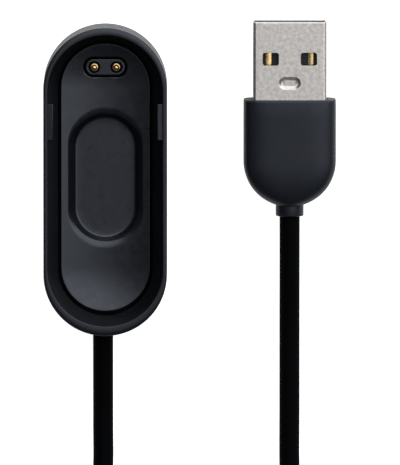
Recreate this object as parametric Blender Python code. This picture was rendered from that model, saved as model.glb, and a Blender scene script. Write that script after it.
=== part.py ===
"""Charging dock for a fitness-tracker capsule, with its cord and USB-A plug.

The dock lies on the surface z = 0 with its long side along Y. The origin is the centre of its
foot. The tracker drops in from above (+Z) on two spring contacts near the +Y end, and the cord
leaves the -Y end, turns back and ends in the plug, which lies beside the dock.
"""

import math

import bmesh
import bpy
from mathutils import Vector

MM = 0.001
FIT_GAP = 0.05 * MM            # between pieces that touch on the real object

# Dock: (half width, half length) of each oval outline. The inner ones sit a little nearer to the
# contacts' end, because the wall is thicker where the cord comes in.
CASE_HEIGHT = 11.4 * MM
CASE_OUTLINE = (10.05 * MM, 25.1 * MM)
OPENING_OUTLINE = (9.35 * MM, 23.72 * MM)
OPENING_Y = 0.2 * MM
WELL_OUTLINE = (7.65 * MM, 22.42 * MM)
WELL_Y = 0.12 * MM
TRAY_OUTLINE = (7.25 * MM, 21.88 * MM)
TRAY_Y = 0.27 * MM
SHELF_OUTLINE = (6.3 * MM, 20.9 * MM)
CAVITY_OUTLINE = (7.9 * MM, 22.4 * MM)
CAVITY_Y = 0.45 * MM
COVER_OUTLINE = (8.3 * MM, 22.95 * MM)
COVER_THICKNESS = 1.2 * MM
WELL_EDGE_Z = 5.5 * MM         # where the curved inner wall ends and the groove round the tray starts
SHELF_Z = 3.7 * MM
SHELF_THICKNESS = 0.7 * MM

# Tray: dished floor with a pocket for the tracker's sensor bump
TRAY_EDGE_Z = 5.35 * MM
TRAY_SAG = 0.7 * MM
POCKET_CENTRE_Y = 0.2 * MM
POCKET_MOUTH = (6.15 * MM, 11.6 * MM)
POCKET_FLOOR = (5.05 * MM, 9.95 * MM)
POCKET_FLOOR_Z = 3.4 * MM
POCKET_FLOOR_THICKNESS = 0.95 * MM

# Contacts
PIN_Y = 18.25 * MM
PIN_X = 1.79 * MM
WINDOW_OUTLINE = (3.6 * MM, 1.7 * MM)
HOLDER_OUTLINE = (3.25 * MM, 1.35 * MM)
HOLDER_FLANGE = (3.8 * MM, 1.9 * MM)
HOLDER_TOP_Z = 4.95 * MM
BARREL_RADIUS = 0.7 * MM
BARREL_BORE = 0.53 * MM
BARREL_MOUTH = 0.46 * MM
BARREL_BASE_Z = 2.45 * MM
BARREL_TOP_Z = 5.1 * MM
PLUNGER_RADIUS = 0.43 * MM
PLUNGER_FOOT_Z = 4.14 * MM
PLUNGER_TIP_Z = 6.3 * MM
SPRING_TURNS = 5
BOARD_TOP_Z = 2.4 * MM

# Cord
CORD_DIAMETER = 3.28 * MM
CORD_HOLE_RADIUS = 1.72 * MM
DOCK_CORD_X = -0.4 * MM
DOCK_CORD_Z = 3.1 * MM
CORD_LAID_Z = CORD_DIAMETER / 2 + 0.03 * MM
WIRE_RADIUS = 0.45 * MM

# Plug
PLUG_X = 30.0 * MM
PLUG_Z = 4.0 * MM              # height of the plug's centre line
GRIP_HALF_WIDTH = 7.53 * MM
GRIP_FRONT_Y = 13.0 * MM
GRIP_ROUND_Y = 2.95 * MM       # where the straight sides turn into the round end
COLLAR_RADIUS = 2.26 * MM
COLLAR_FRONT_Y = -4.4 * MM
COLLAR_BACK_Y = -6.1 * MM
SHELL_SIZE = (12.0 * MM, 4.5 * MM)
SHELL_SHEET = 0.3 * MM
SHELL_CORNER = 0.55 * MM
SHELL_BACK_Y = 6.6 * MM
SHELL_TIP_Y = 25.7 * MM
TONGUE_TOP_Z = PLUG_Z - 0.05 * MM
CONTACT_X = (-3.5 * MM, -1.0 * MM, 1.0 * MM, 3.5 * MM)
CONTACT_TIP_Y = (24.4 * MM, 23.4 * MM, 23.4 * MM, 24.4 * MM)

ARC_STEPS = 14                 # segments in each round end of an oval


# ---------------------------------------------------------------- materials

def make_material(name, color, roughness, metallic=0.0):
    material = bpy.data.materials.new(name)
    material.use_nodes = True
    shader = material.node_tree.nodes["Principled BSDF"]
    shader.inputs["Base Color"].default_value = (*color, 1.0)
    shader.inputs["Roughness"].default_value = roughness
    shader.inputs["Metallic"].default_value = metallic
    material.diffuse_color = (*color, 1.0)
    return material


def make_materials():
    return {
        "case": make_material("case_plastic", (0.018, 0.019, 0.022), 0.5),
        "tray": make_material("tray_plastic", (0.024, 0.025, 0.030), 0.45),
        "rubber": make_material("cord_rubber", (0.006, 0.006, 0.008), 0.6),
        "grip": make_material("grip_plastic", (0.022, 0.023, 0.028), 0.5),
        "steel": make_material("plated_steel", (0.55, 0.52, 0.50), 0.3, 1.0),
        "gold": make_material("gold_plate", (0.75, 0.50, 0.20), 0.25, 1.0),
        "board": make_material("board_green", (0.02, 0.12, 0.05), 0.5),
        "insulator": make_material("insulator_plastic", (0.015, 0.014, 0.014), 0.5),
        "natural": make_material("natural_plastic", (0.60, 0.57, 0.50), 0.5),
        "red": make_material("wire_red", (0.45, 0.02, 0.02), 0.5),
        "black": make_material("wire_black", (0.01, 0.01, 0.01), 0.5),
    }


# ---------------------------------------------------------------- mesh tools

def add_object(name, bm, material, location=(0, 0, 0)):
    bmesh.ops.recalc_face_normals(bm, faces=bm.faces)
    mesh = bpy.data.meshes.new(name)
    bm.to_mesh(mesh)
    bm.free()
    mesh.shade_smooth()
    mesh.set_sharp_from_angle(angle=math.radians(35))
    obj = bpy.data.objects.new(name, mesh)
    obj.location = location
    if material is not None:
        mesh.materials.append(material)
    bpy.context.collection.objects.link(obj)
    return obj


def loft(name, rings, material, closed=False, location=(0, 0, 0)):
    """One body through rings of equal length; its ends are filled, or joined to each other."""
    bm = bmesh.new()
    loops = [[bm.verts.new(point) for point in ring] for ring in rings]
    pairs = list(zip(loops, loops[1:]))
    if closed:
        pairs.append((loops[-1], loops[0]))
    for lower, upper in pairs:
        for i in range(len(lower)):
            j = (i + 1) % len(lower)
            bm.faces.new((lower[i], lower[j], upper[j], upper[i]))
    if not closed:
        bm.faces.new(loops[0])
        bm.faces.new(list(reversed(loops[-1])))
    return add_object(name, bm, material, location)


def oval(outline, z, inset=0.0, centre_y=0.0, height=None):
    """Points round an oval; an oval wider than it is long has its round ends at left and right."""
    half_x = outline[0] - inset
    half_y = outline[1] - inset
    radius = min(half_x, half_y)
    points = []
    for i in range(2 * ARC_STEPS + 2):
        half_turn = 0 if i <= ARC_STEPS else 1
        angle = math.pi * (i - half_turn) / ARC_STEPS
        side = 1 if half_turn == 0 else -1
        if half_y >= half_x:
            x = radius * math.cos(angle)
            y = radius * math.sin(angle) + side * (half_y - radius)
        else:
            x = radius * math.sin(angle) + side * (half_x - radius)
            y = -radius * math.cos(angle)
        y += centre_y
        points.append(Vector((x, y, z if height is None else height(x, y))))
    return points


def corner(radius, start, end, steps):
    """Points (across, up) along an arc about the origin, for rounded edges; angles in degrees."""
    for i in range(steps + 1):
        angle = math.radians(start + (end - start) * i / steps)
        yield radius * math.cos(angle), radius * math.sin(angle)


def turned(name, profile, material, location, sides=20):
    """A solid turned about Z from (radius, z) pairs that run from the axis back to the axis."""
    bm = bmesh.new()
    loops = []
    for radius, z in profile:
        if radius == 0:
            loops.append([bm.verts.new((0, 0, z))])
            continue
        turn = [2 * math.pi * i / sides for i in range(sides)]
        loops.append([bm.verts.new((radius * math.cos(a), radius * math.sin(a), z)) for a in turn])
    for lower, upper in zip(loops, loops[1:]):
        for i in range(sides):
            j = (i + 1) % sides
            if len(lower) == 1:
                bm.faces.new((lower[0], upper[j], upper[i]))
            elif len(upper) == 1:
                bm.faces.new((lower[i], lower[j], upper[0]))
            else:
                bm.faces.new((lower[i], lower[j], upper[j], upper[i]))
    return add_object(name, bm, material, location)


def block(name, low, high, material=None):
    """A box between two opposite corners."""
    bm = bmesh.new()
    bmesh.ops.create_cube(bm, size=1.0)
    for vert in bm.verts:
        for axis in range(3):
            vert.co[axis] = high[axis] if vert.co[axis] > 0 else low[axis]
    return add_object(name, bm, material)


def cylinder_along_y(name, centre, radius, y_from, y_to, material=None, sides=24):
    rings = []
    for y in (y_from, y_to):
        turn = [2 * math.pi * i / sides for i in range(sides)]
        ring = [(centre[0] + radius * math.cos(a), y, centre[1] + radius * math.sin(a)) for a in turn]
        rings.append(ring)
    return loft(name, rings, material)


def rounded_box_ring(half_x, half_z, radius, y, steps=4):
    """Points round a rounded rectangle that stands across Y, about the plug's centre line."""
    ring = []
    for quarter, (sign_x, sign_z) in enumerate(((1, 1), (-1, 1), (-1, -1), (1, -1))):
        centre_x = sign_x * (half_x - radius)
        centre_z = sign_z * (half_z - radius)
        for across, up in corner(radius, 90 * quarter, 90 * quarter + 90, steps):
            ring.append((PLUG_X + centre_x + across, y, PLUG_Z + centre_z + up))
    return ring


def boolean(target, tool, operation):
    modifier = target.modifiers.new(operation.lower(), "BOOLEAN")
    modifier.operation = operation
    modifier.object = tool
    tool.hide_render = True
    tool.display_type = "WIRE"


def cut(target, *tools):
    for tool in tools:
        boolean(target, tool, "DIFFERENCE")


def join(target, *tools):
    for tool in tools:
        boolean(target, tool, "UNION")


def smooth_route(points, spacing):
    """Points at an even spacing along a smooth curve through the given points."""
    knots = [Vector(point) for point in points]
    knots = [2 * knots[0] - knots[1]] + knots + [2 * knots[-1] - knots[-2]]
    fine = []
    for a, b, c, d in zip(knots, knots[1:], knots[2:], knots[3:]):
        for i in range(24):
            t = i / 24
            fine.append(0.5 * (2 * b + (c - a) * t + (2 * a - 5 * b + 4 * c - d) * t ** 2
                               + (3 * b - a - 3 * c + d) * t ** 3))
    fine.append(knots[-2])
    route = [fine[0]]
    for point in fine[1:]:
        if (point - route[-1]).length >= spacing:
            route.append(point)
    if (route[-1] - fine[-1]).length < spacing / 2:
        route.pop()
    route.append(fine[-1])
    return route


def tube(name, points, radius, material, bevel_resolution=2):
    """A round closed tube along a list of points."""
    curve = bpy.data.curves.new(name, "CURVE")
    curve.dimensions = "3D"
    curve.bevel_depth = radius
    curve.bevel_resolution = bevel_resolution
    curve.use_fill_caps = True
    spline = curve.splines.new("POLY")
    spline.points.add(len(points) - 1)
    for spline_point, point in zip(spline.points, points):
        spline_point.co = (*point, 1.0)
    curve.materials.append(material)
    obj = bpy.data.objects.new(name, curve)
    bpy.context.collection.objects.link(obj)
    return obj


# ---------------------------------------------------------------- dock

def wall_height(share, curved, y, wall_top):
    """The inner wall's height: steep all the way down, with a softer foot at the cord's end."""
    towards_cord = min(max((-y - 12 * MM) / (9 * MM), 0), 1)
    straightness = 0.62 - 0.3 * towards_cord ** 2 * (3 - 2 * towards_cord)
    rise = straightness * share + (1 - straightness) * curved
    return WELL_EDGE_Z + (wall_top - WELL_EDGE_Z) * rise


def make_outer_case(material):
    """The tub: foot, outer wall, rolled rim, curved inner wall, groove, shelf and cover rebate."""
    foot = 0.9 * MM
    lip = 0.35 * MM
    rings = []
    for across, up in corner(foot, 270, 360, 4):
        rings.append(oval(CASE_OUTLINE, foot + up, foot - across))
    for across, up in corner(lip, 0, 90, 4):
        rings.append(oval(CASE_OUTLINE, CASE_HEIGHT - lip + up, lip - across))
    wall_steps = 9
    edge = 0.12 * MM
    wall_top = CASE_HEIGHT - edge
    rings.append(oval(OPENING_OUTLINE, CASE_HEIGHT, -edge, OPENING_Y))
    for i in range(wall_steps + 1):
        angle = math.radians(90 - 90 * i / wall_steps)
        share = math.sin(angle)
        outline = [well + (mouth - well) * share for well, mouth in zip(WELL_OUTLINE, OPENING_OUTLINE)]
        curved = 1 - math.cos(angle)
        rings.append(oval(outline, 0, 0, WELL_Y + (OPENING_Y - WELL_Y) * share,
                          lambda x, y: wall_height(share, curved, y, wall_top)))
    rings.append(oval(WELL_OUTLINE, SHELF_Z, centre_y=WELL_Y))
    rings.append(oval(SHELF_OUTLINE, SHELF_Z, centre_y=TRAY_Y))
    rings.append(oval(SHELF_OUTLINE, SHELF_Z - SHELF_THICKNESS, centre_y=TRAY_Y))
    rings.append(oval(CAVITY_OUTLINE, SHELF_Z - SHELF_THICKNESS, centre_y=CAVITY_Y))
    rings.append(oval(CAVITY_OUTLINE, COVER_THICKNESS + FIT_GAP, centre_y=CAVITY_Y))
    rings.append(oval(COVER_OUTLINE, COVER_THICKNESS + FIT_GAP, -FIT_GAP))
    rings.append(oval(COVER_OUTLINE, 0, -FIT_GAP))
    case = loft("outer_case", rings, material, closed=True)
    for side in (-1, 1):
        join(case, make_snap_rib(side))
    cut(case, *make_cord_outlet_cutters())
    return case


def make_snap_rib(side):
    """A wedge-shaped rib on the inner wall that holds the tracker by its flank."""
    rib_from_y = 6.8 * MM
    rib_to_y = 12.7 * MM
    section = ((9.7, 10.85), (8.55, 11.0), (8.4, 10.85), (8.4, 9.9), (9.3, 8.9), (9.7, 8.9))
    ends = ((rib_from_y, 0.25), (rib_from_y + 0.25 * MM, 0), (rib_to_y - 0.25 * MM, 0), (rib_to_y, 0.25))
    rings = []
    for y, drop in ends:
        rings.append([(side * min(x + drop, 9.7) * MM, y, z * MM) for x, z in section])
    return loft("rib_tool_left" if side < 0 else "rib_tool_right", rings, None)


def make_cord_outlet_cutters():
    """A stepped hole for the grommet and, behind it, a low channel for the wires."""
    centre = (DOCK_CORD_X, DOCK_CORD_Z)
    entry = cylinder_along_y("outlet_entry_tool", centre, 2.15 * MM, -26 * MM, -24.2 * MM)
    seat = cylinder_along_y("outlet_seat_tool", centre, 2.4 * MM, -24.25 * MM, -23.0 * MM)
    channel = block("outlet_channel_tool", (-2.0 * MM, -23.3 * MM, 1.3 * MM),
                    (1.2 * MM, -21.5 * MM, 2.95 * MM))
    return entry, seat, channel


def make_cord_grommet(material):
    """A rubber bush with a collar that keeps it in the case's end wall."""
    grommet = cylinder_along_y("cord_grommet", (DOCK_CORD_X, DOCK_CORD_Z), 2.1 * MM,
                               -24.95 * MM, -23.1 * MM, material)
    collar = cylinder_along_y("grommet_collar_tool", (DOCK_CORD_X, DOCK_CORD_Z), 2.33 * MM,
                              -24.15 * MM, -23.1 * MM)
    bore = cylinder_along_y("grommet_bore_tool", (DOCK_CORD_X, DOCK_CORD_Z), CORD_HOLE_RADIUS,
                            -26 * MM, -23 * MM)
    join(grommet, collar)
    cut(grommet, bore)
    return grommet


def make_base_cover(material):
    """The flat bottom cover, with two rails that hold the circuit board up."""
    chamfer = 0.15 * MM
    rings = [
        oval(COVER_OUTLINE, 0, chamfer),
        oval(COVER_OUTLINE, chamfer),
        oval(COVER_OUTLINE, COVER_THICKNESS),
    ]
    cover = loft("base_cover", rings, material)
    for side in (-1, 1):
        low_x, high_x = sorted((side * 2.2 * MM, side * 3.2 * MM))
        rail = block(f"rail_tool_{side}", (low_x, 14 * MM, 1.0 * MM), (high_x, 20 * MM, 1.55 * MM))
        join(cover, rail)
    return cover


def dish_height(x, y):
    """Height of the dished tray, which follows the tracker's rounded back."""
    half_width, half_length = TRAY_OUTLINE
    beyond = max(abs(y - TRAY_Y) - (half_length - half_width), 0)
    share = min(math.hypot(x, beyond) / half_width, 1)
    return TRAY_EDGE_Z - TRAY_SAG * (1 - share ** 2)


def make_tray_insert(material):
    """Dished floor panel with the pocket for the sensor bump and the window for the contacts."""
    underside = SHELF_Z + FIT_GAP
    edge = 0.2 * MM
    pocket = dict(centre_y=POCKET_CENTRE_Y)
    wall = 0.9 * MM
    rings = [oval(TRAY_OUTLINE, underside, 0, TRAY_Y), oval(TRAY_OUTLINE, TRAY_EDGE_Z - edge, 0, TRAY_Y)]
    rings.append(oval(TRAY_OUTLINE, 0, 0.06 * MM, TRAY_Y, lambda x, y: dish_height(x, y) - 0.06 * MM))
    for share in (0.0, 0.3, 0.65, 0.92):
        outline = [a + (b - a) * share for a, b in zip(TRAY_OUTLINE, POCKET_MOUTH)]
        inset = edge if share == 0 else 0
        centre_y = TRAY_Y + (POCKET_CENTRE_Y - TRAY_Y) * share
        rings.append(oval(outline, 0, inset, centre_y, dish_height))
    lip = 0.45 * MM
    rings.append(oval(POCKET_MOUTH, 0, 0, POCKET_CENTRE_Y, dish_height))
    rings.append(oval(POCKET_MOUTH, 0, lip, POCKET_CENTRE_Y, lambda x, y: dish_height(x, y) - lip * 0.4))
    for inset, rise in ((0, 0.36 * MM), (0.12 * MM, 0.12 * MM), (0.4 * MM, 0)):
        rings.append(oval(POCKET_FLOOR, POCKET_FLOOR_Z + rise, inset, **pocket))
    pocket_base = POCKET_FLOOR_Z - POCKET_FLOOR_THICKNESS
    below = [
        oval(POCKET_FLOOR, pocket_base, -wall / 2, **pocket),
        oval(POCKET_FLOOR, underside - 0.3 * MM, -wall, **pocket),
        oval(POCKET_FLOOR, underside, -wall - 0.1 * MM, **pocket),
    ]
    tray = loft("tray_insert", below + rings, material)
    window = loft("window_tool", [oval(WINDOW_OUTLINE, 3 * MM, centre_y=PIN_Y),
                                  oval(WINDOW_OUTLINE, 7 * MM, centre_y=PIN_Y)], None)
    cut(tray, window)
    return tray


def make_pin_holder(material):
    """Oblong insert in the tray's window, with a wider flange below the tray."""
    flange_z = BOARD_TOP_Z + 0.1 * MM
    flange_top = SHELF_Z - 0.15 * MM
    edge = 0.15 * MM
    place = dict(centre_y=PIN_Y)
    rings = [
        oval(HOLDER_FLANGE, flange_z, **place),
        oval(HOLDER_FLANGE, flange_top, **place),
        oval(HOLDER_OUTLINE, flange_top, **place),
        oval(HOLDER_OUTLINE, HOLDER_TOP_Z - edge, **place),
        oval(HOLDER_OUTLINE, HOLDER_TOP_Z, edge, **place),
    ]
    holder = loft("pin_holder", rings, material)
    for side in (-1, 1):
        profile = [(0, 2 * MM), (0.75 * MM, 2 * MM), (0.75 * MM, 4.3 * MM), (0.95 * MM, 4.5 * MM),
                   (0.95 * MM, 6 * MM), (0, 6 * MM)]
        cut(holder, turned(f"pin_hole_tool_{side}", profile, None, (side * PIN_X, PIN_Y, 0)))
    return holder


def make_contact(side, name, materials):
    """One spring contact: a sleeve, a plunger with a domed tip, and the coil spring between them."""
    place = (side * PIN_X, PIN_Y, 0)
    floor_z = BARREL_BASE_Z + 0.3 * MM
    bead = 0.12 * MM
    crimp_z = BARREL_TOP_Z - 0.25 * MM
    barrel = [(0, BARREL_BASE_Z), (BARREL_RADIUS, BARREL_BASE_Z), (BARREL_RADIUS, BARREL_TOP_Z - bead),
              (BARREL_RADIUS - bead, BARREL_TOP_Z), (BARREL_MOUTH, BARREL_TOP_Z), (BARREL_MOUTH, crimp_z),
              (BARREL_BORE, crimp_z - 0.02 * MM), (BARREL_BORE, floor_z), (0, floor_z)]
    turned(f"{name}_pin_barrel", barrel, materials["gold"], place)

    foot_radius = 0.49 * MM
    stop_z = crimp_z - 0.05 * MM
    plunger = [(0, PLUNGER_FOOT_Z), (foot_radius, PLUNGER_FOOT_Z), (foot_radius, stop_z),
               (PLUNGER_RADIUS, stop_z)]
    dome_base = PLUNGER_TIP_Z - 0.35 * MM
    for i in range(5):
        angle = math.radians(90 * i / 5)
        plunger.append((PLUNGER_RADIUS * math.cos(angle),
                        dome_base + (PLUNGER_TIP_Z - dome_base) * math.sin(angle)))
    plunger.append((0, PLUNGER_TIP_Z))
    turned(f"{name}_pin_plunger", plunger, materials["gold"], place)

    wire = 0.05 * MM
    coil_radius = 0.4 * MM
    low = floor_z + wire + 0.02 * MM
    rise = PLUNGER_FOOT_Z - wire - 0.02 * MM - low
    steps = SPRING_TURNS * 12
    coil = []
    for i in range(steps + 1):
        angle = 2 * math.pi * SPRING_TURNS * i / steps
        coil.append((place[0] + coil_radius * math.cos(angle),
                     place[1] + coil_radius * math.sin(angle), low + rise * i / steps))
    tube(f"{name}_pin_spring", coil, wire, materials["steel"], bevel_resolution=1)


def make_circuit_board(material):
    return block("circuit_board", (-4.4 * MM, 12.9 * MM, 1.6 * MM), (4.4 * MM, 20.7 * MM, BOARD_TOP_Z),
                 material)


def make_dock_wire(name, side, material):
    """From the cord's end, low under the tray and up onto the board's near edge."""
    start_x = DOCK_CORD_X + side * 0.6 * MM
    route = [
        (start_x, -23.3 * MM, 2.2 * MM),
        (start_x, -21.5 * MM, 2.0 * MM),
        (side * 2.0 * MM, -15 * MM, 1.8 * MM),
        (side * 3.4 * MM, -8 * MM, 1.8 * MM),
        (side * 3.8 * MM, 2 * MM, 1.8 * MM),
        (side * 3.8 * MM, 9 * MM, 1.8 * MM),
        (side * 3.8 * MM, 11.0 * MM, 2.1 * MM),
        (side * 3.8 * MM, 12.6 * MM, 2.85 * MM),
        (side * 3.8 * MM, 14.4 * MM, BOARD_TOP_Z + WIRE_RADIUS + FIT_GAP),
    ]
    return tube(name, smooth_route(route, 1.2 * MM), WIRE_RADIUS, material)


# ---------------------------------------------------------------- cord

def cord_route():
    """Out of the dock, down onto the surface, back in a loose bend and up into the plug."""
    laid = CORD_LAID_Z
    return [
        (DOCK_CORD_X, -23.6 * MM, DOCK_CORD_Z),
        (DOCK_CORD_X, -26.5 * MM, DOCK_CORD_Z),
        (DOCK_CORD_X, -31.0 * MM, 2.6 * MM),
        (DOCK_CORD_X, -36.0 * MM, 1.9 * MM),
        (DOCK_CORD_X, -41.0 * MM, laid),
        (DOCK_CORD_X, -47.0 * MM, laid),
        (-0.9 * MM, -53.0 * MM, laid),
        (-0.9 * MM, -59.5 * MM, laid),
        (1.0 * MM, -65.5 * MM, laid),
        (5.2 * MM, -71.0 * MM, laid),
        (11.2 * MM, -74.2 * MM, laid),
        (18.0 * MM, -74.5 * MM, laid),
        (24.3 * MM, -71.4 * MM, laid),
        (28.6 * MM, -66.0 * MM, laid),
        (30.4 * MM, -59.5 * MM, laid),
        (30.3 * MM, -53.0 * MM, laid),
        (PLUG_X, -47.0 * MM, laid),
        (PLUG_X, -38.0 * MM, laid),
        (PLUG_X, -30.0 * MM, laid),
        (PLUG_X, -23.0 * MM, 1.9 * MM),
        (PLUG_X, -16.0 * MM, 3.0 * MM),
        (PLUG_X, -10.0 * MM, 3.85 * MM),
        (PLUG_X, -6.0 * MM, PLUG_Z),
        (PLUG_X, -3.5 * MM, PLUG_Z),
    ]


def make_cord(material):
    return tube("cord", smooth_route(cord_route(), 2 * CORD_DIAMETER), CORD_DIAMETER / 2, material)


# ---------------------------------------------------------------- plug

def grip_ring(y, inset=0.0):
    """Section of the grip at y: a soft-cornered oblong in front that becomes the round collar."""
    past = min(max((GRIP_ROUND_Y - y) / (GRIP_ROUND_Y - COLLAR_FRONT_Y), 0), 1)
    half_width = max(GRIP_HALF_WIDTH * math.sqrt(1 - (0.975 * past) ** 2), COLLAR_RADIUS) - inset
    half_height = COLLAR_RADIUS + (PLUG_Z - COLLAR_RADIUS) * math.sqrt(1 - past ** 2.5) - inset
    squareness = 2 + 2.2 * (1 - past ** 3)
    ring = []
    steps = 40
    for i in range(steps):
        angle = 2 * math.pi * i / steps
        across = math.copysign(abs(math.cos(angle)) ** (2 / squareness), math.cos(angle))
        up = math.copysign(abs(math.sin(angle)) ** (2 / squareness), math.sin(angle))
        ring.append((PLUG_X + half_width * across, y, PLUG_Z + half_height * up))
    return ring


def make_plug_overmould(material):
    """The moulded grip: flat front round the shell, straight sides, round back end and collar."""
    edge = 0.35 * MM
    rings = [grip_ring(GRIP_FRONT_Y, edge), grip_ring(GRIP_FRONT_Y - 0.1 * MM, 0.12 * MM),
             grip_ring(GRIP_FRONT_Y - edge)]
    rings.append(grip_ring(GRIP_ROUND_Y))
    round_steps = 9
    for i in range(1, round_steps):
        share = math.sin(math.radians(90 * i / round_steps))
        rings.append(grip_ring(GRIP_ROUND_Y + (COLLAR_FRONT_Y - GRIP_ROUND_Y) * share))
    rings.append(grip_ring(COLLAR_FRONT_Y))
    rings.append(grip_ring(COLLAR_BACK_Y))
    grip = loft("plug_overmould", rings, material)
    front, back = GRIP_FRONT_Y + 1 * MM, -1.0 * MM
    pocket_half_x = SHELL_SIZE[0] / 2 + FIT_GAP
    pocket_half_z = SHELL_SIZE[1] / 2 + FIT_GAP
    pocket = loft("grip_pocket_tool", [rounded_box_ring(pocket_half_x, pocket_half_z, SHELL_CORNER + FIT_GAP, y)
                                       for y in (front, back)], None)
    bore = cylinder_along_y("grip_bore_tool", (PLUG_X, PLUG_Z), CORD_HOLE_RADIUS, COLLAR_BACK_Y - 1 * MM,
                            back + 0.5 * MM)
    cut(grip, pocket, bore)
    return grip


def make_plug_shell(material):
    """Folded sheet-steel shell with latch windows in both wide faces and a retaining window."""
    half_x, half_z = SHELL_SIZE[0] / 2, SHELL_SIZE[1] / 2
    radius = SHELL_CORNER
    inner = SHELL_SHEET
    lead = 0.18 * MM
    rings = [
        rounded_box_ring(half_x, half_z, radius, SHELL_BACK_Y),
        rounded_box_ring(half_x, half_z, radius, SHELL_TIP_Y - lead),
        rounded_box_ring(half_x - lead, half_z - lead, radius - lead, SHELL_TIP_Y),
        rounded_box_ring(half_x - inner, half_z - inner, radius - inner, SHELL_TIP_Y),
        rounded_box_ring(half_x - inner, half_z - inner, radius - inner, SHELL_BACK_Y),
    ]
    shell = loft("plug_shell", rings, material, closed=True)
    window_x = 3.1 * MM
    window_y = SHELL_TIP_Y - 6.07 * MM
    for side in (-1, 1):
        cut(shell, make_window_tool(f"latch_window_tool_{side}", PLUG_X + side * window_x, window_y,
                                    1.315 * MM, 1.05 * MM, 0 * MM, 8 * MM, 0.4 * MM))
    tab_y = SHELL_TIP_Y - 10.0 * MM
    cut(shell, make_window_tool("retaining_window_tool", PLUG_X, tab_y, 1.78 * MM, 1.0 * MM,
                                PLUG_Z, 8 * MM, 0.95 * MM))
    top_inside = PLUG_Z + half_z - inner
    tab = block("retaining_tab_tool", (PLUG_X - 2.4 * MM, tab_y - 1.4 * MM, top_inside - 0.3 * MM),
                (PLUG_X + 2.4 * MM, tab_y + 1.4 * MM, top_inside + 0.05 * MM))
    join(shell, tab)
    return shell


def make_window_tool(name, x, y, half_x, half_y, z_from, z_to, radius):
    rings = []
    for z in (z_from, z_to):
        ring = []
        for quarter, (sign_x, sign_y) in enumerate(((1, 1), (-1, 1), (-1, -1), (1, -1))):
            for across, up in corner(radius, 90 * quarter, 90 * quarter + 90, 4):
                ring.append((x + sign_x * (half_x - radius) + across,
                             y + sign_y * (half_y - radius) + up, z))
        rings.append(ring)
    return loft(name, rings, None)


def make_plug_insulator(material):
    """Block at the back of the shell and the tongue in front of it, with a slot for each contact."""
    half_x = SHELL_SIZE[0] / 2 - SHELL_SHEET - FIT_GAP
    half_z = SHELL_SIZE[1] / 2 - SHELL_SHEET - FIT_GAP
    bottom = PLUG_Z - half_z
    block_front_y = 13.2 * MM
    tongue_tip_y = SHELL_TIP_Y - 0.1 * MM
    ring = [
        (SHELL_BACK_Y + 0.1 * MM, bottom), (tongue_tip_y, bottom),
        (tongue_tip_y, TONGUE_TOP_Z - 0.3 * MM), (tongue_tip_y - 0.3 * MM, TONGUE_TOP_Z),
        (block_front_y, TONGUE_TOP_Z), (block_front_y, PLUG_Z + half_z),
        (SHELL_BACK_Y + 0.1 * MM, PLUG_Z + half_z),
    ]
    edge = 0.45 * MM
    sections = ((-half_x, edge), (-half_x + edge, 0), (half_x - edge, 0), (half_x, edge))
    rings = []
    for x, inset in sections:
        rings.append([(PLUG_X + x, y, min(max(z, bottom + inset), PLUG_Z + half_z - inset)) for y, z in ring])
    insulator = loft("plug_insulator", rings, material)
    slot_half = 0.55 * MM
    for number, (x, tip_y) in enumerate(zip(CONTACT_X, CONTACT_TIP_Y), start=1):
        slot = block(f"contact_slot_tool_{number}",
                     (PLUG_X + x - slot_half, 6 * MM, TONGUE_TOP_Z - 0.2 * MM),
                     (PLUG_X + x + slot_half, tip_y + 0.1 * MM, TONGUE_TOP_Z + 0.15 * MM))
        cut(insulator, slot)
    return insulator


def make_plug_contacts(material):
    half = 0.5 * MM
    low, high = TONGUE_TOP_Z - 0.15 * MM, TONGUE_TOP_Z + 0.05 * MM
    for number, (x, tip_y) in enumerate(zip(CONTACT_X, CONTACT_TIP_Y), start=1):
        block(f"plug_contact_{number}", (PLUG_X + x - half, 5.6 * MM, low),
              (PLUG_X + x + half, tip_y, high), material)


def make_plug_inner_mould(material):
    """Block behind the shell, with a T-shaped trough for the two wires."""
    front_y = 5.4 * MM
    back_y = -0.9 * MM
    trough_z = 3.3 * MM
    top = 7 * MM
    mould = loft("plug_inner_mould", [rounded_box_ring(5.95 * MM, 2.2 * MM, 0.7 * MM, back_y),
                                      rounded_box_ring(5.95 * MM, 2.2 * MM, 0.7 * MM, front_y)], material)
    stem = block("trough_stem_tool", (PLUG_X - 1.6 * MM, back_y - 1 * MM, trough_z),
                 (PLUG_X + 1.6 * MM, 2 * MM, top))
    bar = block("trough_bar_tool", (PLUG_X - 4.3 * MM, 0.6 * MM, trough_z - 0.1 * MM),
                (PLUG_X + 4.3 * MM, front_y + 1 * MM, top))
    cut(mould, stem, bar)
    return mould


def make_plug_wire(name, side, material):
    """From the cord's end through the trough onto the tail of an outer contact."""
    tail_z = TONGUE_TOP_Z + 0.05 * MM + WIRE_RADIUS + FIT_GAP
    start_x = PLUG_X + side * 0.6 * MM
    route = [
        (start_x, -3.3 * MM, PLUG_Z),
        (start_x, -1.0 * MM, PLUG_Z),
        (PLUG_X + side * 1.0 * MM, 0.9 * MM, 4.05 * MM),
        (PLUG_X + side * 2.6 * MM, 2.5 * MM, 4.3 * MM),
        (PLUG_X + side * 3.4 * MM, 4.2 * MM, tail_z),
        (PLUG_X + side * 3.5 * MM, 6.4 * MM, tail_z),
    ]
    return tube(name, smooth_route(route, 0.8 * MM), WIRE_RADIUS, material)


# ---------------------------------------------------------------- assembly

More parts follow.
